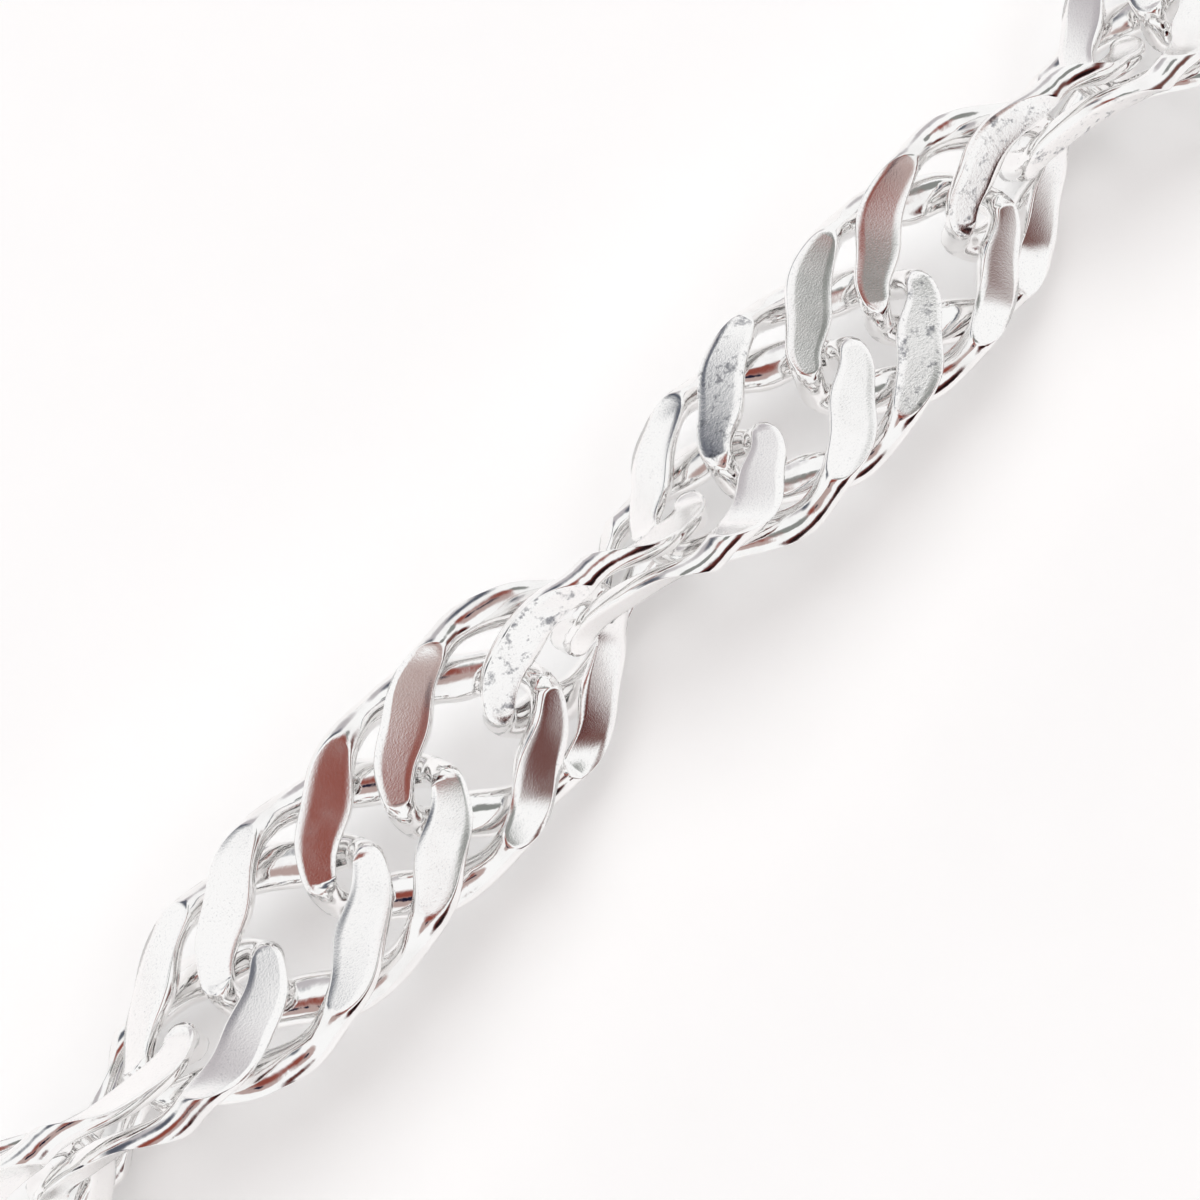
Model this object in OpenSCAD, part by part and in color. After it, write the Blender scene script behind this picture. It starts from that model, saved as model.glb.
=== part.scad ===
// Singapore chain: a flat double curb chain of silver wire that has been twisted along its length.
// Every link passes through the two links before it, its high places are cut flat on both faces of
// the ribbon, and the ribbon makes a full turn about every twelve links. The necklace lies in an
// oval on a table: its front stretch is made link by link, the rest is a tube of the same width,
// and a plain barrel clasp closes it at the back. Z = 0 is the table.

/* [Necklace] */
// Length of the closed necklace along the middle of the chain and the clasp
necklace_l = 450; // [400:10:600]
// Width of the oval that the necklace lies in, between the middles of its two sides
oval_w = 90; // [70:2:120]
// Number of links in the front stretch, each a piece of its own
front_links = 40; // [20:2:40]
// Gap between a tube and the link, or the clasp, that it ends at
tube_gap = 0.2; // [0.1:0.05:0.5]

/* [Links] */
// Diameter of the wire
wire_d = 0.48; // [0.4:0.01:0.58]
// Room left beside a strand of wire where others pass it
strand_play = 0.22; // [0.18:0.01:0.32]
// Room along the chain between the ends of two links that hook into each other
hook_play = 0.29; // [0.23:0.01:0.37]
// How much wider pressing makes a strand at its high places, as a share of the wire
press = 0.56; // [0.2:0.02:0.6]
// Depth that the cut takes off each face of the ribbon
face_cut = 0.16; // [0.05:0.01:0.18]
// How much nearer the links of a pair stand than two links of different pairs
pair_shift = 0.4; // [0:0.02:0.5]

/* [Twist] */
// Number of links in one full turn of the ribbon
links_per_turn = 12; // [11:1:18]
// Angle of the ribbon's face from level, at the middle of the front stretch
twist_start = 99; // [0:1:179]
// Angle by which the ribbon lies flatter than an even twist would leave it, at the most
settle = 23; // [0:1:25]

/* [Clasp] */
// Length of the barrel between its two eyes
barrel_l = 9; // [6:0.5:14]
// Diameter of the barrel
barrel_d = 3.6; // [3.2:0.1:5]
// Rounding of the barrel's rims
barrel_round = 0.7; // [0.2:0.1:1]
// Inner diameter of the eyes that the end links pass through
eye_bore = 1.5; // [1.3:0.1:2]
// Diameter of the eyes' wire
eye_wire = 0.7; // [0.5:0.05:0.9]

/* [Hidden] */
// One strand with the room beside it, which every link size is a multiple of
strand = wire_d + strand_play;
// Half the length of a link's oval along the middle of its wire, and what its corners add to it
oval_l = 3.03 * strand;
corner_l = 0.107 * strand;
half_l = oval_l + corner_l;
// Half the width of the oval there, and what the strands bow out beyond it
half_w = 1.857 * strand;
bow = 0.2 * strand;
// Height that a strand climbs above the middle of the ribbon. A smaller climb makes it steeper: it
// is steep at the link's tips and gentler where the strand turns over the ribbon's edge.
rise = 0.52 * strand;
climb_tip = 0.36;
climb_edge = 0.6;
// How far the pressed width leans towards the ribbon's edge, away from the link's tip
press_skew = 0.22;

wire_sides = 6;
link_sides = 16;
tube_sides = 10;
tube_rings = 30;

link_pitch = half_l - (wire_d + hook_play) / 2;
ribbon_r = half_w + bow + wire_d / 2;
// A tube lies on one of its flat sides, as low as the ribbon's edges
tube_r = ribbon_r / cos(180 / tube_sides);
// How far an eye's wire is let into the barrel's end
eye_sink = 0.3;
eye_r = (eye_bore + eye_wire) / 2;
eye_at = barrel_l / 2 + eye_r + eye_wire / 2 - eye_sink;

function climb(t) = norm([climb_tip * cos(t), climb_edge * sin(t)]);
// The middle of a link's wire at angle t, as place along the chain, across it and above it
function wire_middle(t) = [
    oval_l * cos(t) + corner_l * cos(3 * t),
    half_w * sin(t) - bow * sin(3 * t),
    rise * sin(2 * t) * norm([1, climb(t)]) / norm([sin(2 * t), climb(t)])
];
face_h = rise + wire_d / 2 - face_cut;

// Turn of the ribbon at place s, right-handed along the chain. It turns slowly where a face looks
// up or down, and fast where it stands on edge.
function ribbon_angle(s) =
    let (even = twist_start + 360 * s / (links_per_turn * link_pitch))
    even - settle * sin(2 * even);
// A point of the ribbon [along, across, above] turned with it, and the same turned back
function turned(p, s) =
    let (a = ribbon_angle(s))
    [p.x, p.y * cos(a) - p.z * sin(a), p.y * sin(a) + p.z * cos(a)];
function turned_back(p, s) =
    let (a = -ribbon_angle(s))
    [p.x, p.y * cos(a) - p.z * sin(a), p.y * sin(a) + p.z * cos(a)];

// The oval route: two straight sides and two half circles. Place 0 is the middle of the front side.
oval_r = oval_w / 2;
side_l = necklace_l / 2 - PI * oval_r;
bend_l = PI * oval_r;
function side_of(s) = s < -side_l / 2 - bend_l ? -2 : s < -side_l / 2 ? -1 : s <= side_l / 2 ? 0
    : s <= side_l / 2 + bend_l ? 1 : 2;
// Heading of the route at place s, in degrees from +X
function heading(s) =
    let (k = side_of(s), past = abs(s) - side_l / 2)
    k == 0 ? 0 : abs(k) == 2 ? 180 : sign(s) * past / oval_r * 180 / PI;
function route(s) =
    let (k = side_of(s), h = heading(s), back = abs(s) - side_l - bend_l)
    k == 0 ? [s, -oval_r]
    : abs(k) == 2 ? [-sign(s) * back, oval_r]
    : [sign(s) * side_l / 2 + oval_r * sin(h), -oval_r * cos(h)];
// A point [along, left, up] of the straight chain, laid on the route
function laid(p) =
    let (c = route(p.x), h = heading(p.x))
    [c.x - p.y * sin(h), c.y + p.y * cos(h), ribbon_r + p.z];

// Place of link i on the route. Odd and even links move towards each other to stand in pairs.
function link_place(i) =
    (i - (front_links + 1) / 2) * link_pitch + (i % 2 == 0 ? 1 : -1) * pair_shift / 4;

function unit(v) = v / norm(v);
// The middle of link i's wire at angle t, on the twisted but still straight chain
function strand_at(i, t) =
    let (m = wire_middle(t), s = link_place(i) + m.x)
    turned([s, -m.y, m.z], s);
// One six-sided section of the wire, pressed wider at the high places and cut flat at both faces
function wire_section(i, t) =
    let (
        c = strand_at(i, t),
        along = unit(strand_at(i, t + 0.5) - strand_at(i, t - 0.5)),
        face = turned([0, 0, 1], c.x),
        side = unit(cross(along, face)),
        up = cross(side, along),
        wide = wire_d / 2 * (1 + press * pow(sin(2 * t) * (1 - press_skew * cos(2 * t)), 2)),
        high = wire_d / 2
    )
    [for (k = [0:wire_sides - 1])
        let (
            a = 360 * k / wire_sides,
            p = c + side * wide * cos(a) + up * high * sin(a),
            q = turned_back(p, p.x)
        )
        laid(turned([q.x, q.y, max(-face_h, min(face_h, q.z))], p.x))
    ];

// Triangles between rings of points. The last ring joins the first one, or both ends are capped.
function ring_faces(rings, sides, closed) = concat(
    [for (j = [0:rings - (closed ? 1 : 2)], k = [0:sides - 1], half = [0, 1])
        let (
            a = j * sides + k,
            b = j * sides + (k + 1) % sides,
            c = ((j + 1) % rings) * sides + k,
            d = ((j + 1) % rings) * sides + (k + 1) % sides
        )
        half == 0 ? [a, d, c] : [a, b, d]],
    closed ? [] : [
        [for (k = [sides - 1:-1:0]) k],
        [for (k = [0:sides - 1]) (rings - 1) * sides + k]
    ]
);

module link(i) {
    rings = [for (j = [0:link_sides - 1]) wire_section(i, 360 * j / link_sides)];
    color("silver")
    polyhedron([for (r = rings, p = r) p], ring_faces(link_sides, wire_sides, true));
}

// Where a hidden stretch begins, past the last link of the front one, and ends at the clasp's eye
stretch_from = link_place(front_links) + half_l + wire_d / 2 + tube_gap;
stretch_to = necklace_l / 2 - eye_at - eye_r - eye_wire / 2 - tube_gap;

// A hidden stretch, as a tube as wide as the ribbon from place a to place b
module tube(a, b) {
    rings = [for (j = [0:tube_rings - 1])
        let (s = a + (b - a) * j / (tube_rings - 1))
        [for (k = [0:tube_sides - 1])
            let (w = 360 * (k + 0.5) / tube_sides)
            laid([s, -tube_r * sin(w), -tube_r * cos(w)])]];
    color("silver")
    polyhedron([for (r = rings, p = r) p], ring_faces(tube_rings, tube_sides, false));
}

// Barrel clasp: a round barrel with an eye soldered on each end, one piece
module clasp() {
    color("silver")
    translate([0, oval_r, barrel_d / 2]) {
        rotate([0, 90, 0])
        rotate_extrude($fn = 48) barrel_outline();
        for (end = [-1, 1])
            translate([end * eye_at, 0, 0])
            rotate_extrude($fn = 48)
            translate([eye_r, 0])
            circle(d = eye_wire, $fn = 24);
    }
}

// Half the barrel's outline, with rounded rims
module barrel_outline() {
    flat_r = barrel_d / 2 - barrel_round;
    translate([0, -barrel_l / 2])
    square([flat_r, barrel_l]);
    translate([0, barrel_round - barrel_l / 2])
    square([barrel_d / 2, barrel_l - 2 * barrel_round]);
    for (end = [-1, 1])
        translate([flat_r, end * (barrel_l / 2 - barrel_round)])
        circle(r = barrel_round, $fn = 32);
}

function link_name(i) = str("link_", i < 10 ? "0" : "", i);

for (i = [1:front_links]) link(i);
tube(-stretch_to, -stretch_from);  // chain_left
tube(stretch_from, stretch_to);  // chain_right
clasp();
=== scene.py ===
import logging
import math
from dataclasses import dataclass, field
from enum import Enum

import bpy
import numpy as np
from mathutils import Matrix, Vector


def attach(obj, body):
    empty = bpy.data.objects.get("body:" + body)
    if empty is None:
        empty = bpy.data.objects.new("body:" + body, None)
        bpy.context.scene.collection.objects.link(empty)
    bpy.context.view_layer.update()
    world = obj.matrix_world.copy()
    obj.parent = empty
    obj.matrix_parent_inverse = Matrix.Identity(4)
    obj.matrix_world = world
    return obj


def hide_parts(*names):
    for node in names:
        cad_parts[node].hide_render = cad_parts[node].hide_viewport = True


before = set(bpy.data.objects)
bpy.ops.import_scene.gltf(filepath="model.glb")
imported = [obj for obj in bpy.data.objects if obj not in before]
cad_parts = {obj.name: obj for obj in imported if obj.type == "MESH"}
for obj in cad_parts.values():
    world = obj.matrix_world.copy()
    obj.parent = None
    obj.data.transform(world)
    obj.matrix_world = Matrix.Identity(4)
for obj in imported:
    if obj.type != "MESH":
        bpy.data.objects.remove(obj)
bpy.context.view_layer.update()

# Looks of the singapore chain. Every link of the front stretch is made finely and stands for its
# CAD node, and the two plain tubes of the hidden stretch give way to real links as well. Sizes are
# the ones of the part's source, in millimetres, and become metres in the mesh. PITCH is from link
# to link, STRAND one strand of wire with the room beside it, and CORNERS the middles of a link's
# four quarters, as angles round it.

MM = 0.001
PITCH = 1.8109
STRAND = 0.7
CORNERS = tuple(math.pi / 4 + math.pi / 2 * k for k in range(4))
BODY = "root"
GRIND = "grind"
LOG = logging.getLogger("chain")


# Shader maths

class Sock:
    """A value, colour or vector of a node tree, on which Python's operators add Math nodes."""

    def __init__(self, shade: "Shade", link: bpy.types.NodeSocket) -> None:
        """Keeps the tree and the socket.

        Args:
            shade: The tree that the socket belongs to.
            link: The output socket itself.
        """
        self.shade = shade
        self.link = link

    def maths(self, operation: str, first: "Sock | float", second: "Sock | float") -> "Sock":
        """Adds one Math node.

        Args:
            operation: The node's operation, such as ADD.
            first: Its first input.
            second: Its second input.

        Returns:
            The node's value.
        """
        return self.shade.node("ShaderNodeMath", {"operation": operation}, {0: first, 1: second})

    def __add__(self, other: "Sock | float") -> "Sock":
        """Self plus other."""
        return self.maths("ADD", self, other)

    def __radd__(self, other: float) -> "Sock":
        """Other plus self."""
        return self.maths("ADD", other, self)

    def __sub__(self, other: "Sock | float") -> "Sock":
        """Self minus other."""
        return self.maths("SUBTRACT", self, other)

    def __rsub__(self, other: float) -> "Sock":
        """Other minus self."""
        return self.maths("SUBTRACT", other, self)

    def __mul__(self, other: "Sock | float") -> "Sock":
        """Self times other."""
        return self.maths("MULTIPLY", self, other)

    def size(self) -> "Sock":
        """Self without its sign."""
        return self.maths("ABSOLUTE", self, 0.0)

    def root(self) -> "Sock":
        """Square root of self."""
        return self.maths("SQRT", self, 0.0)

    def step(self, low: float, high: float) -> "Sock":
        """Rises smoothly from 0 at low to 1 at high.

        Args:
            low: The value where the step starts.
            high: The value where it is complete.

        Returns:
            The step, between 0 and 1.
        """
        return self.shade.node(
            "ShaderNodeMapRange",
            {"interpolation_type": "SMOOTHSTEP"},
            {"Value": self, "From Min": low, "From Max": high, "To Min": 0.0, "To Max": 1.0},
        )


class Shade:
    """Builds a node tree by calls, one for each node."""

    def __init__(self, tree: bpy.types.NodeTree) -> None:
        """Empties the tree.

        Args:
            tree: The tree of a material or of the world.
        """
        tree.nodes.clear()
        self.tree = tree

    def node(self, kind: str, settings: dict, inputs: dict, output: int | str = 0) -> Sock:
        """Adds one node.

        Args:
            kind: The node's type.
            settings: Its settings, which are set first.
            inputs: Values or links by the socket's name or number.
            output: Which output is handed back.

        Returns:
            That output.
        """
        made = self.tree.nodes.new(kind)
        for key, value in settings.items():
            setattr(made, key, value)
        for key, value in inputs.items():
            if isinstance(value, Sock):
                self.tree.links.new(value.link, made.inputs[key])
            else:
                made.inputs[key].default_value = value
        return Sock(self, made.outputs[output] if len(made.outputs) else made.inputs[0])

    def mix(self, share: "Sock | float", first: "Sock | tuple", second: "Sock | tuple") -> Sock:
        """Mixes two colours.

        Args:
            share: How much of the second colour there is.
            first: A colour with four numbers, or a socket.
            second: The other colour.

        Returns:
            The mixed colour.
        """
        return self.node("ShaderNodeMix", {"data_type": "RGBA"}, {0: share, 6: first, 7: second}, 2)

    def noise(self, place: Sock, grain_mm: float, detail: float, rough: float = 0.55) -> Sock:
        """Noise whose coarsest features are about grain_mm apart.

        Args:
            place: The coordinates, in metres.
            grain_mm: Distance between features.
            detail: Number of octaves.
            rough: Strength of each octave against the one before.

        Returns:
            The noise, between 0 and 1.
        """
        return self.node(
            "ShaderNodeTexNoise", {},
            {"Vector": place, "Scale": 1 / (grain_mm * MM), "Detail": detail, "Roughness": rough},
        )

    def bump(self, height: Sock, depth_mm: float, below: "Sock | None" = None) -> Sock:
        """Relief from a height between 0 and 1.

        Args:
            height: The height.
            depth_mm: Its real depth at 1.
            below: The relief that this one lies on.

        Returns:
            The bent normal.
        """
        inputs = {"Height": height, "Strength": 1.0, "Distance": depth_mm * MM}
        if below is not None:
            inputs["Normal"] = below
        return self.node("ShaderNodeBump", {}, inputs)


# Finishes

def new_material(name: str) -> tuple[bpy.types.Material, Shade, Sock]:
    """Starts a material.

    Args:
        name: Its name.

    Returns:
        The material, its tree, and the object's own coordinates.
    """
    material = bpy.data.materials.new(name)
    material.use_nodes = True
    shade = Shade(material.node_tree)
    place = shade.node("ShaderNodeTexCoord", {}, {}, "Object")
    return material, shade, place


def close_material(shade: Shade, surface: dict) -> None:
    """Ends a material in one Principled shader.

    Args:
        shade: The material's tree.
        surface: The shader's inputs.
    """
    shader = shade.node("ShaderNodeBsdfPrincipled", {}, surface)
    shade.node("ShaderNodeOutputMaterial", {}, {"Surface": shader})


@dataclass(frozen=True)
class BrightSilver:
    """Polished silver wire: a mirror with soft dents, faint cloudy patches and hairline marks."""

    name: str = "silver_wire"
    tint: tuple = (0.955, 0.95, 0.945, 1.0)
    cloud_tint: tuple = (0.90, 0.892, 0.885, 1.0)
    rough: float = 0.055
    cloud_rough: float = 0.11
    cloud_mm: float = 0.55
    cloud_edges: tuple = (0.42, 0.72)
    dent_mm: float = 0.34
    dent_depth: float = 0.010
    mark_mm: float = 0.07
    mark_depth: float = 0.0011

    def build(self) -> bpy.types.Material:
        """Makes the material.

        Returns:
            The material.
        """
        material, shade, place = new_material(self.name)
        cloud = shade.noise(place, self.cloud_mm, detail=3).step(*self.cloud_edges)
        dents = shade.noise(place, self.dent_mm, detail=1.5)
        marks = shade.noise(place, self.mark_mm, detail=3)
        relief = shade.bump(marks, self.mark_depth, shade.bump(dents, self.dent_depth))
        close_material(shade, {
            "Base Color": shade.mix(cloud, self.tint, self.cloud_tint),
            "Metallic": 1.0,
            "Roughness": self.rough + cloud * self.cloud_rough,
            "Normal": relief,
        })
        return material


@dataclass(frozen=True)
class CutSilver:
    """Flat cut faces of the links: ground silver with a fine even grain, painted shade in its small
    hollows, and where its grind is coarse, specks in the relief and dark spots of painted shade."""

    name: str = "silver_cut_face"
    tint: tuple = (0.965, 0.958, 0.952, 1.0)
    # Painted shade: the darker colour of the grain's small hollows.
    pit_shade_tint: tuple = (0.66, 0.665, 0.68, 1.0)
    rough: float = 0.13
    cloud_rough: float = 0.07
    cloud_mm: float = 0.5
    cloud_edges: tuple = (0.35, 0.75)
    wave_mm: float = 0.9
    wave_depth: float = 0.006
    grain_mm: float = 0.028
    grain_depth: float = 0.0016
    pit_shade_edges: tuple = (0.55, 0.72)
    pit_shade_share: float = 0.35
    cloud_pit_shade_share: float = 0.4
    speck_mm: float = 0.055
    speck_depth: float = 0.003
    blotch_mm: float = 0.2
    blotch_edges: tuple = (0.52, 0.72)
    # Painted shade: the colour of the dark spots where the grind is coarse.
    blotch_shade_tint: tuple = (0.2, 0.205, 0.23, 1.0)

    def build(self) -> bpy.types.Material:
        """Makes the material.

        Returns:
            The material.
        """
        material, shade, place = new_material(self.name)
        coarse = shade.node("ShaderNodeAttribute", {"attribute_name": GRIND}, {}, "Fac")
        cloud = shade.noise(place, self.cloud_mm, detail=2, rough=0.5).step(*self.cloud_edges)
        grain = shade.noise(place, self.grain_mm, detail=3, rough=0.6)
        # Painted shade: the grain's deepest hollows are darkened in the base colour, more in the
        # cloudy patches.
        pit_shade = grain.step(*self.pit_shade_edges) * (self.pit_shade_share + cloud * self.cloud_pit_shade_share)
        waves = shade.noise(place, self.wave_mm, detail=1)
        specks = shade.noise(place, self.speck_mm, detail=3, rough=0.75) * coarse
        # Painted shade: dark spots in the base colour where the grind is coarse, for the shade in
        # small cavities.
        blotch_shade = shade.noise(place, self.blotch_mm, detail=3, rough=0.7)
        blotch_shade = blotch_shade.step(*self.blotch_edges) * coarse
        tone = shade.mix(pit_shade, self.tint, self.pit_shade_tint)
        relief = shade.bump(waves, self.wave_depth)
        relief = shade.bump(specks, self.speck_depth, relief)
        relief = shade.bump(grain, self.grain_depth, relief)
        close_material(shade, {
            "Base Color": shade.mix(blotch_shade, tone, self.blotch_shade_tint),
            "Metallic": 1.0,
            "Roughness": self.rough + cloud * self.cloud_rough,
            "Normal": relief,
        })
        return material


@dataclass(frozen=True)
class TableWhite:
    """The matt white surface under the chain, and a painted glow near it for the silver's light."""

    name: str = "table_white"
    tint: tuple = (0.93, 0.93, 0.93, 1.0)
    fibre_tint: tuple = (0.905, 0.905, 0.905, 1.0)
    # Emission: a faint even glow far from the chain, and a stronger painted glow near it.
    far_light: tuple = (0.07, 0.07, 0.07, 1.0)
    painted_glow_near: tuple = (0.125, 0.125, 0.123, 1.0)
    near_mm: float = 1.6
    far_mm: float = 6.5
    rough: float = 0.8
    cloud_mm: float = 1.6
    fibre_mm: float = 0.35
    fibre_depth: float = 0.006

    def build(self, route: "Route") -> bpy.types.Material:
        """Makes the material.

        The distance from the chain's route is that of a point from two half circles and the two
        straight sides between them: how far its distance from the stretch between the circles'
        centres differs from their radius.

        Args:
            route: The route, near which the table glows with painted light for the silver's light.

        Returns:
            The material.
        """
        material, shade, place = new_material(self.name)
        cloud = shade.noise(place, self.cloud_mm, detail=5)
        relief = shade.bump(shade.noise(place, self.fibre_mm, detail=4), self.fibre_depth)
        x, y = (shade.node("ShaderNodeSeparateXYZ", {}, {0: place}, k) for k in (0, 1))
        past = x.size() - route.side_l / 2 * MM
        past = past.maths("MAXIMUM", past, 0.0)
        off = (past * past + y * y).root() - route.radius * MM
        near = 1 - off.size().step(self.near_mm * MM, self.far_mm * MM)
        close_material(shade, {
            "Base Color": shade.mix(cloud, self.tint, self.fibre_tint),
            "Roughness": self.rough,
            # Painted light: the table glows more near the chain's route, lifting the shade beside
            # the chain.
            "Emission Color": shade.mix(near, self.far_light, self.painted_glow_near),
            "Emission Strength": 1.0,
            "Normal": relief,
        })
        return material


# The chain's form

@dataclass(frozen=True)
class Route:
    """The oval that the chain lies in: two straight sides and two half circles, in millimetres."""

    necklace_l: float = 450.0
    oval_w: float = 90.0
    height: float = 1.68

    @property
    def radius(self) -> float:
        """Radius of the half circles."""
        return self.oval_w / 2

    @property
    def side_l(self) -> float:
        """Length of a straight side."""
        return self.necklace_l / 2 - math.pi * self.radius

    def heading(self, s: np.ndarray) -> np.ndarray:
        """Heading of the route, in radians from +X: it turns only along the half circles.

        Args:
            s: Places along the route, 0 at the middle of the front side.

        Returns:
            The headings.
        """
        past = np.clip(np.abs(s) - self.side_l / 2, 0, math.pi * self.radius)
        return np.sign(s) * past / self.radius

    def lay(self, points: np.ndarray) -> np.ndarray:
        """Lays points [along, left, up] of the straight chain on the route.

        The middle of the route is the straight part up to the bend, plus the arc in the bend, plus
        the straight way back behind it. A point stands left of it by its second number.

        Args:
            points: The points, in the last axis.

        Returns:
            The points in the room, in metres.
        """
        s, left, up = np.moveaxis(points, -1, 0)
        h = self.heading(s)
        side = np.sign(s)
        straight = np.minimum(np.abs(s), self.side_l / 2)
        back = np.maximum(np.abs(s) - self.side_l / 2 - math.pi * self.radius, 0)
        x = side * (straight + self.radius * np.sin(np.abs(h)) - back)
        y = -self.radius * np.cos(h)
        laid = np.stack([x - left * np.sin(h), y + left * np.cos(h), up + self.height], axis=-1)
        return laid * MM


@dataclass(frozen=True)
class Twist:
    """Turn of the ribbon along the chain: slow where a face looks up, fast on edge."""

    start: float = 99.0
    settle: float = 23.0
    rate: float = 360.0 / (12 * PITCH)
    hidden_from: float = 37.0
    extra_left: float = 0.0
    extra_right: float = 0.0

    def even(self, s: np.ndarray) -> np.ndarray:
        """Angle of an even twist: the start, plus the rate times the place, plus a small extra rate
        that begins where the hidden stretch does.

        Args:
            s: Places along the chain.

        Returns:
            The angles, in degrees.
        """
        hidden = np.maximum(np.abs(s) - self.hidden_from, 0)
        extra = np.where(s > 0, self.extra_right, self.extra_left)
        return self.start + self.rate * s + extra * hidden

    def angle(self, s: np.ndarray) -> np.ndarray:
        """The even angle less settle times the sine of twice itself, in radians.

        Args:
            s: Places along the chain.

        Returns:
            The ribbon's angles from level.
        """
        even = np.radians(self.even(s))
        return even - math.radians(self.settle) * np.sin(2 * even)

    def turn_rate(self, s: float) -> float:
        """How fast the ribbon turns at one place, in radians a millimetre: the slope of angle().

        Args:
            s: The place along the chain.

        Returns:
            The rate.
        """
        step = 0.01
        return float(self.angle(np.array(s + step)) - self.angle(np.array(s - step))) / (2 * step)

    def turn(self, points: np.ndarray, way: int = 1) -> np.ndarray:
        """Turns ribbon points [along, across, above] with the ribbon at their own place.

        Args:
            points: The points, in the last axis.
            way: 1 to turn with the ribbon, -1 to turn back.

        Returns:
            The turned points.
        """
        s, across, above = np.moveaxis(points, -1, 0)
        a = way * self.angle(s)
        turned = (s, across * np.cos(a) - above * np.sin(a), across * np.sin(a) + above * np.cos(a))
        return np.stack(turned, axis=-1)


@dataclass(frozen=True)
class FaceCut:
    """One cut face of a link.

    It leans off the ribbon's plane by slopes across and along it, and by a slope across its own
    strand, which rises outwards. Coarse is 0 for a fine even grain and 1 for specks in the relief
    and dark spots of painted shade, lift is how much less deep it is cut, in millimetres, and
    flatten how far the twist is taken out of it.
    """

    across: float = 0.0
    along: float = 0.0
    coarse: float = 0.0
    lift: float = 0.0
    lean: float = 0.0
    flatten: float = 0.7


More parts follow.
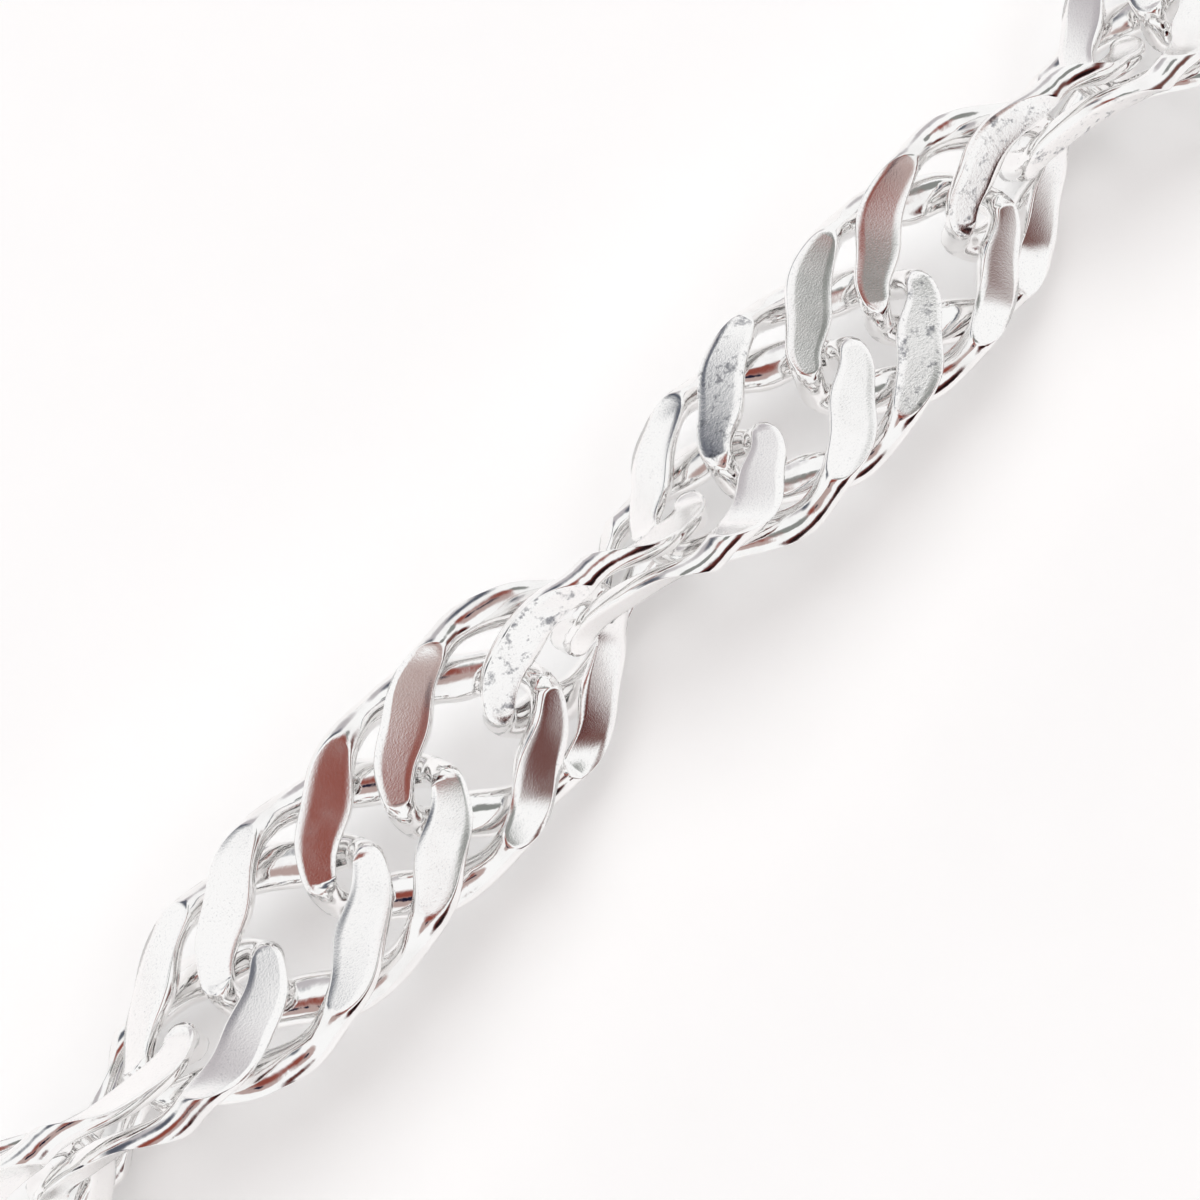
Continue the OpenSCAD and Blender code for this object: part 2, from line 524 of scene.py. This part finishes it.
@dataclass(frozen=True)
class LinkForm:
    """One curb link of round wire, pressed at its high places and cut flat at both faces.

    Its sizes are multiples of one strand with the room beside it. The link has four quarters, each
    with one face, whose strand runs strand_way [along, across] at the quarter's middle. Where
    nothing is cut, the lines of a rim stand the least angles from the top of the wire, and no line
    stands further than past_side beyond the wire's side.
    """

    wire_d: float = 0.48
    oval_l: float = 3.03 * STRAND
    corner_l: float = 0.107 * STRAND
    half_w: float = 1.857 * STRAND
    bow: float = 0.2 * STRAND
    rise: float = 0.52 * STRAND
    climb_tip: float = 0.36
    climb_edge: float = 0.6
    press: float = 0.56
    press_skew: float = 0.22
    face_cut: float = 0.16
    lowest_share: float = 0.65
    rim: float = 0.02
    sway: float = 0.03
    straighten: float = 0.045
    strand_way: tuple = (0.807, 0.591)
    least_angles: tuple = (0.20, 0.14, 0.09)
    past_side: float = 0.4
    side_steps: int = 6
    halvings: int = 18
    turns: int = 168

    @property
    def half_l(self) -> float:
        """Half the length of the link along the middle of its wire."""
        return self.oval_l + self.corner_l

    @property
    def face_h(self) -> float:
        """Height of the cut faces above the middle of the ribbon."""
        return self.rise + self.wire_d / 2 - self.face_cut

    @property
    def lowest_cut(self) -> float:
        """Height that no cut goes below, just above the wire where it turns over the edge."""
        return self.wire_d * self.lowest_share

    def middle(self, t: np.ndarray) -> np.ndarray:
        """The middle of the wire at angle t.

        Along the chain it is a cosine with a little of its third overtone, across it a sine less a
        share of its third overtone, and above it the sine of 2t, pressed towards a square wave that
        is steep at the link's tips and gentler at the ribbon's edges.

        Args:
            t: Angles round the link, in radians.

        Returns:
            Points [along, across, above].
        """
        wave = np.sin(2 * t)
        climb = np.hypot(self.climb_tip * np.cos(t), self.climb_edge * np.sin(t))
        steep = np.hypot(1, climb) / np.hypot(wave, climb)
        return np.stack([
            self.oval_l * np.cos(t) + self.corner_l * np.cos(3 * t),
            self.half_w * np.sin(t) - self.bow * np.sin(3 * t),
            self.rise * wave * steep,
        ], axis=-1)

    def on_ribbon(self, t: np.ndarray, place: float, twist: Twist) -> np.ndarray:
        """The middle of the wire on the twisted but straight chain.

        Args:
            t: Angles round the link.
            place: Place of the link's middle along the chain.
            twist: The ribbon's twist.

        Returns:
            Points [along, left, up].
        """
        m = self.middle(t)
        return twist.turn(np.stack([place + m[..., 0], -m[..., 1], m[..., 2]], axis=-1))

    def frames(self, t: np.ndarray, place: float, twist: Twist) -> tuple:
        """The wire's middle, and its sideways and upward axes, square to the wire's direction.

        Args:
            t: Angles round the link.
            place: Place of the link's middle.
            twist: The ribbon's twist.

        Returns:
            Three arrays of points.
        """
        step = 0.004
        c = self.on_ribbon(t, place, twist)
        along = self.on_ribbon(t + step, place, twist) - self.on_ribbon(t - step, place, twist)
        along /= np.linalg.norm(along, axis=-1, keepdims=True)
        a = twist.angle(c[..., 0])
        face = np.stack([np.zeros_like(a), -np.sin(a), np.cos(a)], axis=-1)
        side = np.cross(along, face)
        side /= np.linalg.norm(side, axis=-1, keepdims=True)
        return c, side, np.cross(side, along)

    def skin(self, t: np.ndarray, w: np.ndarray, frames: tuple) -> np.ndarray:
        """Points of the wire's skin before the cut: an ellipse carried along the wire, whose width
        grows with the square of the sine of 2t, more so towards the ribbon's edge. Pressing also
        straightens the strand a little, and makes it sway from side to side, as sin 8t.

        Args:
            t: Angles round the link, one for each section.
            w: Angles round the wire, one row for each section.
            frames: What frames() gives for t.

        Returns:
            Points in rows.
        """
        c, side, up = (a[:, None] for a in frames)
        high = np.sin(2 * t) * (1 - self.press_skew * np.cos(2 * t))
        wide = self.wire_d / 2 * (1 + self.press * high ** 2)
        lead = np.sin(2 * t) ** 2
        push = lead * (self.sway * np.sin(8 * t) - self.straighten * np.sin(6 * t) * np.sin(2 * t))
        across = wide[:, None] * np.cos(w) + push[:, None]
        return c + side * across[..., None] + up * (self.wire_d / 2 * np.sin(w))[..., None]

    def cut_height(self, flat: np.ndarray, place: float, twist: Twist, tilts: tuple) -> np.ndarray:
        """Height of the cut over each point: the face's height plus its slopes times the distance
        from the face's middle, for the face of the quarter in which the point lies.

        In the ribbon's frame a true plane is a saddle, whose height is the ribbon's turn per
        millimetre times the distances along and across. Each face takes a share of it. Towards the
        lowest cut the height levels off smoothly, as half the sum of a number and its size does.
        The lean is added to that, as a slope square to the strand.

        Args:
            flat: Points turned back into the ribbon's own frame.
            place: Place of the link's middle.
            twist: The ribbon's twist.
            tilts: The tilt of the link's four faces.

        Returns:
            The heights, above or below the middle of the ribbon.
        """
        along, across = flat[..., 0] - place, -flat[..., 1]
        height = np.full(along.shape, self.face_h)
        for k, tilt in enumerate(tilts):
            mid = self.middle(CORNERS[k])
            here = (along * mid[0] > 0) & (across * mid[1] > 0)
            saddle = tilt.flatten * (1 if k % 2 == 0 else -1) * twist.turn_rate(place + mid[0])
            ahead, aside = along - mid[0], across - mid[1]
            slope = tilt.across * aside + tilt.along * ahead + saddle * ahead * aside
            spare = self.face_h + slope + tilt.lift - self.lowest_cut
            level = self.lowest_cut + (spare + np.hypot(spare, 2 * self.rim)) / 2
            outwards = np.sign(mid[0]) * ahead * self.strand_way[1] \
                + np.sign(mid[1]) * aside * self.strand_way[0]
            height = np.where(here, level + tilt.lean * outwards, height)
        return height

    def cut(self, skin: np.ndarray, place: float, twist: Twist, tilts: tuple) -> tuple:
        """Cuts the skin flat, with a small rounded rim: below the rim a point stays, above it the
        point comes down to the face, and between them its height follows a parabola.

        Args:
            skin: Points of the uncut skin.
            place: Place of the link's middle.
            twist: The ribbon's twist.
            tilts: The tilt of the link's four faces.

        Returns:
            The cut points, and how far each stood above the cut.
        """
        flat = twist.turn(skin, -1)
        limit = self.cut_height(flat, place, twist, tilts)
        over = np.abs(flat[..., 2]) - limit
        eased = over - (over + self.rim) ** 2 / (4 * self.rim)
        eased = np.where(over < -self.rim, over, np.where(over > self.rim, 0.0, eased))
        height = np.sign(flat[..., 2]) * (limit + eased)
        return twist.turn(np.stack([flat[..., 0], flat[..., 1], height], axis=-1)), over

    def rim_angle(self, t: np.ndarray, frames: tuple, place: float, twist: Twist, tilts: tuple,
                  top: int, side: int, level: float, least: float) -> np.ndarray:
        """Angle round the wire at which its skin reaches a level of the cut, found by halving.

        Args:
            t: Angles round the link.
            frames: What frames() gives for t.
            place: Place of the link's middle.
            twist: The ribbon's twist.
            tilts: The tilt of the link's four faces.
            top: 1 for the upper face, -1 for the lower one.
            side: 1 for the rim on the wire's positive side, -1 for the other.
            level: Height against the cut's.
            least: Smallest angle from the top, kept where nothing is cut.

        Returns:
            The angles, measured from the top of the wire on that side.
        """
        low = np.full(t.shape, least)
        high = np.full(t.shape, math.pi / 2 + self.past_side)
        for _ in range(self.halvings):
            half = (low + high) / 2
            w = top * (math.pi / 2 - side * half)
            flat = twist.turn(self.skin(t, w[:, None], frames), -1)
            over = top * flat[..., 2] - self.cut_height(flat, place, twist, tilts) - level
            above = over[:, 0] > 0
            low, high = np.where(above, half, low), np.where(above, high, half)
        return low

    def side_lines(self, start: np.ndarray, end: np.ndarray) -> np.ndarray:
        """Grid lines that part an uncut side of the wire evenly.

        Args:
            start: Angles round the wire where the side begins.
            end: Those where it ends.

        Returns:
            The angles between them, in rows.
        """
        return start + (end - start) * np.arange(1, self.side_steps) / self.side_steps

    def fine(self, place: float, twist: Twist, tilts: tuple) -> tuple:
        """The link's surface with its grid lines laid along the rims of the cut faces.

        Args:
            place: Place of the link's middle.
            twist: The ribbon's twist.
            tilts: The tilt of the link's four faces.

        Returns:
            A grid of points, how far each stood above the cut, and how coarsely it is ground.
        """
        t = np.arange(self.turns) * 2 * math.pi / self.turns
        frames = self.frames(t, place, twist)
        levels = tuple(zip((-self.rim, 0.0, self.rim), self.least_angles))
        band = {}
        for face in (1, -1):
            for side in (1, -1):
                rims = [self.rim_angle(t, frames, place, twist, tilts, face, side, h, least)
                        for h, least in levels]
                band[face, side] = np.stack(rims, axis=-1)
        right_top, left_top = band[1, 1], band[1, -1]
        right_low, left_low = band[-1, 1], band[-1, -1]
        top, bottom, next_top = (k * math.pi for k in (0.5, 1.5, 2.5))
        inner = np.array([0.5, 0.0])
        w = np.concatenate([
            top - right_top,
            top - right_top[:, 2:] * inner,
            top + left_top[:, 2:] * 0.5,
            top + left_top[:, ::-1],
            self.side_lines(top + left_top[:, :1], bottom - left_low[:, :1]),
            bottom - left_low,
            bottom - left_low[:, 2:] * inner,
            bottom + right_low[:, 2:] * 0.5,
            bottom + right_low[:, ::-1],
            self.side_lines(bottom + right_low[:, :1], next_top - right_top[:, :1]),
        ], axis=1)
        quarter = (np.arange(self.turns) * len(CORNERS) // self.turns)[:, None]
        coarse = np.array([tilt.coarse for tilt in tilts])[quarter] * np.ones(w.shape)
        return *self.cut(self.skin(t, w, frames), place, twist, tilts), coarse

    def coarse(self, place: float, twist: Twist, turns: int, around: int) -> tuple:
        """The link's surface with few faces, for the stretch that the photo doesn't show.

        Args:
            place: Place of the link's middle.
            twist: The ribbon's twist.
            turns: Sections round the link.
            around: Corners of a section.

        Returns:
            A grid of points, how far each stood above the cut, and how coarsely it is ground.
        """
        t = np.arange(turns) * 2 * math.pi / turns
        w = np.tile(np.arange(around) * 2 * math.pi / around, (turns, 1))
        skin = self.skin(t, w, self.frames(t, place, twist))
        tilts = (FaceCut(),) * len(CORNERS)
        return *self.cut(skin, place, twist, tilts), np.zeros(w.shape)


class Slot(Enum):
    """Material slots of a link piece."""

    WIRE = 0
    CUT = 1


def ring_quads(turns: int, around: int) -> np.ndarray:
    """Quads of a grid that closes in both directions, facing outwards.

    Args:
        turns: Rows of the grid.
        around: Points of a row.

    Returns:
        The corner numbers, four to a row.
    """
    j = np.arange(turns)[:, None]
    k = np.arange(around)[None, :]
    after, beside = (j + 1) % turns, (k + 1) % around
    corners = (j * around + k, j * around + beside, after * around + beside, after * around + k)
    return np.stack(np.broadcast_arrays(*corners), axis=-1).reshape(-1, 4)


def ring_piece(name: str, grids: list, materials: list) -> bpy.types.Object:
    """Makes one object of closed rings.

    Args:
        name: The object's name.
        grids: What fine() or coarse() gives for each ring, all one size.
        materials: The materials of the slots.

    Returns:
        The object, at the origin, riding on the chain's body.
    """
    turns, around = grids[0][0].shape[:2]
    quads = ring_quads(turns, around)
    points = np.concatenate([g[0].reshape(-1, 3) for g in grids])
    over, ground = (np.concatenate([g[n].reshape(-1) for g in grids]) for n in (1, 2))
    faces = np.concatenate([quads + turns * around * n for n in range(len(grids))])
    mesh = bpy.data.meshes.new(name)
    mesh.vertices.add(len(points))
    mesh.vertices.foreach_set("co", points.astype(np.float32).ravel())
    mesh.loops.add(faces.size)
    mesh.loops.foreach_set("vertex_index", faces.astype(np.int32).ravel())
    mesh.polygons.add(len(faces))
    mesh.polygons.foreach_set("loop_start", np.arange(0, faces.size, 4, dtype=np.int32))
    mesh.update(calc_edges=True)
    for material in materials:
        mesh.materials.append(material)
    is_cut = (over[faces] > 0).all(axis=1)
    slots = np.where(is_cut, Slot.CUT.value, Slot.WIRE.value).astype(np.int32)
    mesh.polygons.foreach_set("material_index", slots)
    mesh.polygons.foreach_set("use_smooth", np.ones(len(faces), dtype=bool))
    # The grind attribute sets the specks of the relief and the amount of painted shade in dark
    # spots.
    mesh.attributes.new(GRIND, "FLOAT", "POINT").data.foreach_set("value", ground)
    mesh.validate()
    piece = bpy.data.objects.new(name, mesh)
    bpy.context.scene.collection.objects.link(piece)
    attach(piece, BODY)
    return piece


# Sub-assemblies

@dataclass
class FrontChain:
    """The stretch that the photo shows: forty links, each a piece of its own.

    Every cut face leans a little at random. The faces that the photo shows well are given by link
    and quarter, so that each reflects what the real one does.
    """

    count: int = 40
    pitch: float = PITCH
    pair_shift: float = 0.4
    seed: int = 7
    tilt_spread: float = 0.03
    faces: dict = field(default_factory=lambda: {
        15: {0: FaceCut(-0.078, -0.047)},
        16: {0: FaceCut(0.124, 0.062), 2: FaceCut(-0.047, 0.0)},
        17: {0: FaceCut(0.124, -0.031), 2: FaceCut(-0.031, 0.031)},
        18: {0: FaceCut(-0.124, 0.078), 2: FaceCut(-0.109, 0.0)},
        19: {0: FaceCut(0.0, -0.1, lean=0.58, flatten=1.0), 2: FaceCut(0.093, 0.016)},
        20: {2: FaceCut(0.0, 0.016, coarse=0.9, lift=0.09), 3: FaceCut(0.0, 0.0)},
        21: {1: FaceCut(0.0, 0.0), 3: FaceCut(0.031, 0.047)},
        22: {1: FaceCut(0.016, 0.0), 3: FaceCut(0.0, 0.016)},
        23: {1: FaceCut(-0.031, -0.031, coarse=0.8), 3: FaceCut(-0.078, 0.047, coarse=0.9)},
        24: {1: FaceCut(0.047, -0.047), 3: FaceCut(0.031, 0.109)},
        25: {1: FaceCut(0.0, -0.031), 3: FaceCut(0.0, 0.1, lean=0.57, flatten=1.0)},
        26: {1: FaceCut(-0.109, 0.093, coarse=0.9, lift=0.09)},
        27: {1: FaceCut(0.0, 0.0, coarse=0.9, lift=0.09)},
    })

    def place(self, i: float, odd: bool) -> float:
        """Place of link i: its even place, and a small shift that brings the links into pairs.

        Args:
            i: The link's number, from 1.
            odd: Whether the number is odd.

        Returns:
            The place along the chain, in millimetres.
        """
        return (i - (self.count + 1) / 2) * self.pitch + (-1 if odd else 1) * self.pair_shift / 4

    def build(self, form: LinkForm, twist: Twist, route: Route, materials: list) -> None:
        """Makes the links.

        Args:
            form: The form of a link.
            twist: The ribbon's twist.
            route: The oval.
            materials: The materials of wire and cut faces.
        """
        chance = np.random.default_rng(self.seed)
        for i in range(1, self.count + 1):
            tilts = [FaceCut(*chance.normal(0, self.tilt_spread, 2)) for _ in CORNERS]
            for quarter, cut in self.faces.get(i, {}).items():
                tilts[quarter] = cut
            points, *marks = form.fine(self.place(i, i % 2 == 1), twist, tilts)
            piece = ring_piece(f"chain_link_{i:02d}", [(route.lay(points), *marks)], materials)
            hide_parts(f"link_{i:02d}")
        LOG.info("front chain: %d links of %d faces", self.count, len(piece.data.polygons))


class Side(Enum):
    """Which half of the hidden stretch is meant."""

    LEFT = -1
    RIGHT = 1


@dataclass
class HiddenChain:
    """The stretch behind the photo's edge: plain links from the front chain to the clasp."""

    side: Side
    front: FrontChain
    count: int = 100
    turns: int = 16
    around: int = 6
    eye_at: float = 5.65
    into_eye: float = 0.25

    def end_place(self, route: Route, form: LinkForm) -> float:
        """Place of the last link, whose end stands inside the clasp's eye.

        Args:
            route: The oval.
            form: The form of a link.

        Returns:
            The place along the chain, on the right-hand side.
        """
        return route.necklace_l / 2 - self.eye_at - self.into_eye - form.half_l

    def places(self, route: Route, form: LinkForm) -> list:
        """Places of the links, a hair wider apart than in front, so that the last meets the eye.

        Args:
            route: The oval.
            form: The form of a link.

        Returns:
            The places along the chain.
        """
        last = self.front.count + self.count
        begin = abs(self.front.place(self.front.count, False))
        own_end = abs(self.front.place(last, last % 2 == 1))
        stretch = (self.end_place(route, form) - begin) / (own_end - begin)
        numbers = range(self.front.count + 1, last + 1)
        own = [self.front.place(i, i % 2 == 1) for i in numbers]
        return [self.side.value * (begin + (p - begin) * stretch) for p in own]

    def build(self, form: LinkForm, twist: Twist, route: Route, materials: list) -> None:
        """Makes the links as one piece.

        Args:
            form: The form of a link.
            twist: The ribbon's twist.
            route: The oval.
            materials: The materials of wire and cut faces.
        """
        grids = []
        for place in self.places(route, form):
            points, *marks = form.coarse(place, twist, self.turns, self.around)
            grids.append((route.lay(points), *marks))
        word = self.side.name.lower()
        piece = ring_piece(f"chain_{word}_links", grids, materials)
        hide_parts(f"chain_{word}")
        LOG.info("hidden chain %s: %d links", word, len(grids))


def settled_twist(route: Route, form: LinkForm, hidden: HiddenChain) -> Twist:
    """The twist whose hidden stretches turn a trace faster or slower, so that the links that hold
    the clasp stand upright in its eyes.

    The angle that the end link needs is measured between its width and level. The nearest half
    turn to the even twist's own angle there is taken.

    Args:
        route: The oval.
        form: The form of a link.
        hidden: Either hidden stretch.

    Returns:
        The twist.
    """
    plain = Twist()
    end = hidden.end_place(route, form)
    length = end - plain.hidden_from
    upright = 126.0
    trial = np.linspace(0, 180, 3601)
    extra = {}
    for side, wanted in ((1, upright), (-1, 180 - upright)):
        reached = np.degrees(np.radians(trial) - math.radians(plain.settle)
                             * np.sin(2 * np.radians(trial))) % 180
        even = trial[np.argmin(np.abs(reached - wanted))]
        own = float(plain.even(np.array(side * end)))
        miss = (even - own + 90) % 180 - 90
        extra[side] = miss / length
    return Twist(extra_left=extra[-1], extra_right=extra[1])


@dataclass
class Clasp:
    """The plain barrel clasp, whose CAD shape is right and gets the wire's finish."""

    node: str = "clasp"

    def build(self, material: bpy.types.Material) -> None:
        """Dresses the clasp.

        Args:
            material: Its material.
        """
        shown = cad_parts[self.node]
        for slot in shown.material_slots:
            slot.material = material
        LOG.info("clasp: %d slots dressed", len(shown.material_slots))


# The studio

@dataclass
class Camera:
    """The photograph's viewpoint: a macro lens close above the chain."""

    target: tuple = (-0.636, -44.91, 1.68)
    turn: float = 47.739
    elevation: float = 72.819
    distance: float = 30.374
    view_angle: float = 33.557
    sensor_mm: float = 36.0
    clip: tuple = (0.001, 10.0)

    @property
    def back(self) -> Vector:
        """Direction from the target to the camera.

        Returns:
            The direction, one unit long.
        """
        turn, rise = math.radians(self.turn), math.radians(self.elevation)
        flat = math.cos(rise)
        return Vector((-flat * math.sin(turn), -flat * math.cos(turn), math.sin(rise)))

    def build(self) -> None:
        """Makes the camera and points it."""
        data = bpy.data.cameras.new("camera")
        data.sensor_width = self.sensor_mm
        data.lens = data.sensor_width / 2 / math.tan(math.radians(self.view_angle) / 2)
        data.clip_start, data.clip_end = self.clip
        camera = bpy.data.objects.new("camera", data)
        camera.location = (Vector(self.target) + self.back * self.distance) * MM
        camera.rotation_euler = self.back.to_track_quat("Z", "Y").to_euler()
        bpy.context.scene.collection.objects.link(camera)
        bpy.context.scene.camera = camera


@dataclass(frozen=True)
class Patch:
    """A darker round patch of the room, which the silver reflects.

    Turn is measured round the upright from the picture's right, and rise is above the table. The
    patch is whole within its inner radius and gone at the outer one, in degrees.
    """

    name: str
    turn: float
    rise: float
    inner: float
    outer: float
    colour: tuple


@dataclass
class Studio:
    """A white table in a white tent, with a few dim warm parts of the room showing through."""

    white: tuple = (1.0, 1.0, 1.0, 1.0)
    strength: float = 0.98
    window_power: float = 1.2
    window_turn: float = 125.0
    window_rise: float = 62.0
    window_size: float = 0.45
    window_distance: float = 0.6
    floor_size: float = 3.0
    patches: tuple = (
        Patch("room", -92.4, 70.3, 15.3, 23.9, (0.485, 0.364, 0.341, 1.0)),
        Patch("shelf", 114.5, 21.7, 7.1, 23.1, (0.527, 0.497, 0.517, 1.0)),
        Patch("tripod", 41.9, 65.7, 8.6, 14.0, (0.254, 0.264, 0.251, 1.0)),
        Patch("door", 49.4, 89.0, 4.0, 18.1, (0.27, 0.068, 0.05, 1.0)),
        Patch("rack", -4.6, 27.8, 4.0, 20.0, (0.16, 0.07, 0.06, 1.0)),
        Patch("shade", 132.5, 39.0, 4.0, 20.0, (0.1, 0.11, 0.14, 1.0)),
        Patch("table_edge", -33.0, 20.0, 14.0, 24.0, (0.13, 0.035, 0.03, 1.0)),
        Patch("sleeve", -35.0, 16.0, 7.0, 15.0, (0.012, 0.005, 0.006, 1.0)),
        Patch("stand", -168.0, 12.0, 5.0, 12.0, (0.02, 0.02, 0.035, 1.0)),
        Patch("lens", -90.0, 72.8, 4.0, 6.5, (0.01, 0.01, 0.03, 1.0)),
    )

    def way(self, camera: Camera, turn: float, rise: float) -> tuple:
        """A direction given from the camera: turn 0 is the picture's right and 90 is away from the
        camera along the table.

        Args:
            camera: The camera.
            turn: Degrees round the upright.
            rise: Degrees above the table.

        Returns:
            The direction in the room.
        """
        angle, up = math.radians(turn - camera.turn), math.radians(rise)
        return (math.cos(up) * math.cos(angle), math.cos(up) * math.sin(angle), math.sin(up))

    def sky(self, camera: Camera) -> None:
        """Makes what the silver reflects: the white tent with its darker patches.

        Args:
            camera: The camera, from which the patches' directions are given.
        """
        world = bpy.data.worlds.new("studio")
        bpy.context.scene.world = world
        world.use_nodes = True
        shade = Shade(world.node_tree)
        gaze = shade.node("ShaderNodeTexCoord", {}, {}, "Generated")

        colour = self.white
        for patch in self.patches:
            way = self.way(camera, patch.turn, patch.rise)
            cosine = shade.node("ShaderNodeVectorMath", {"operation": "DOT_PRODUCT"},
                                {0: gaze, 1: way}, "Value")
            edges = (math.cos(math.radians(r)) for r in (patch.outer, patch.inner))
            colour = shade.mix(cosine.step(*edges), colour, patch.colour)
        light = shade.node("ShaderNodeBackground", {}, {"Color": colour, "Strength": self.strength})
        shade.node("ShaderNodeOutputWorld", {}, {"Surface": light})

    def window(self, camera: Camera) -> None:
        """Adds the window: a square soft light that looks at the chain and doesn't show in it.

        Args:
            camera: The camera, from which its direction is given.
        """
        data = bpy.data.lights.new("window", "AREA")
        data.size, data.energy = self.window_size, self.window_power
        lamp = bpy.data.objects.new("window", data)
        way = Vector(self.way(camera, self.window_turn, self.window_rise))
        lamp.location = Vector(camera.target) * MM + way * self.window_distance
        lamp.rotation_euler = way.to_track_quat("Z", "Y").to_euler()
        lamp.visible_glossy = False
        bpy.context.scene.collection.objects.link(lamp)

    def floor(self, route: Route) -> None:
        """Makes the table's surface: a flat square.

        Args:
            route: The chain's route.
        """
        half = self.floor_size / 2
        corners = [(-half, -half, 0), (half, -half, 0), (half, half, 0), (-half, half, 0)]
        mesh = bpy.data.meshes.new("table")
        mesh.from_pydata(corners, [], [(0, 1, 2, 3)])
        mesh.materials.append(TableWhite().build(route))
        table = bpy.data.objects.new("table", mesh)
        bpy.context.scene.collection.objects.link(table)

    def build(self, camera: Camera, route: Route) -> None:
        """Makes the floor and the light.

        Args:
            camera: The camera.
            route: The chain's route.
        """
        self.floor(route)
        self.sky(camera)
        self.window(camera)
        scene = bpy.context.scene
        scene.view_settings.view_transform = "Standard"
        scene.view_settings.look = "None"


def main() -> None:
    """Builds the scene, piece by piece."""
    logging.basicConfig(level=logging.INFO, format="%(name)s: %(message)s")
    camera = Camera()
    camera.build()
    route, form, front = Route(), LinkForm(), FrontChain()
    Studio().build(camera, route)
    materials = [BrightSilver().build(), CutSilver().build()]
    halves = [HiddenChain(Side.LEFT, front), HiddenChain(Side.RIGHT, front)]
    twist = settled_twist(route, form, halves[0])
    front.build(form, twist, route, materials)
    for half in halves:
        half.build(form, twist, route, materials)
    Clasp().build(materials[Slot.WIRE.value])


if __name__ == "__main__":
    main()
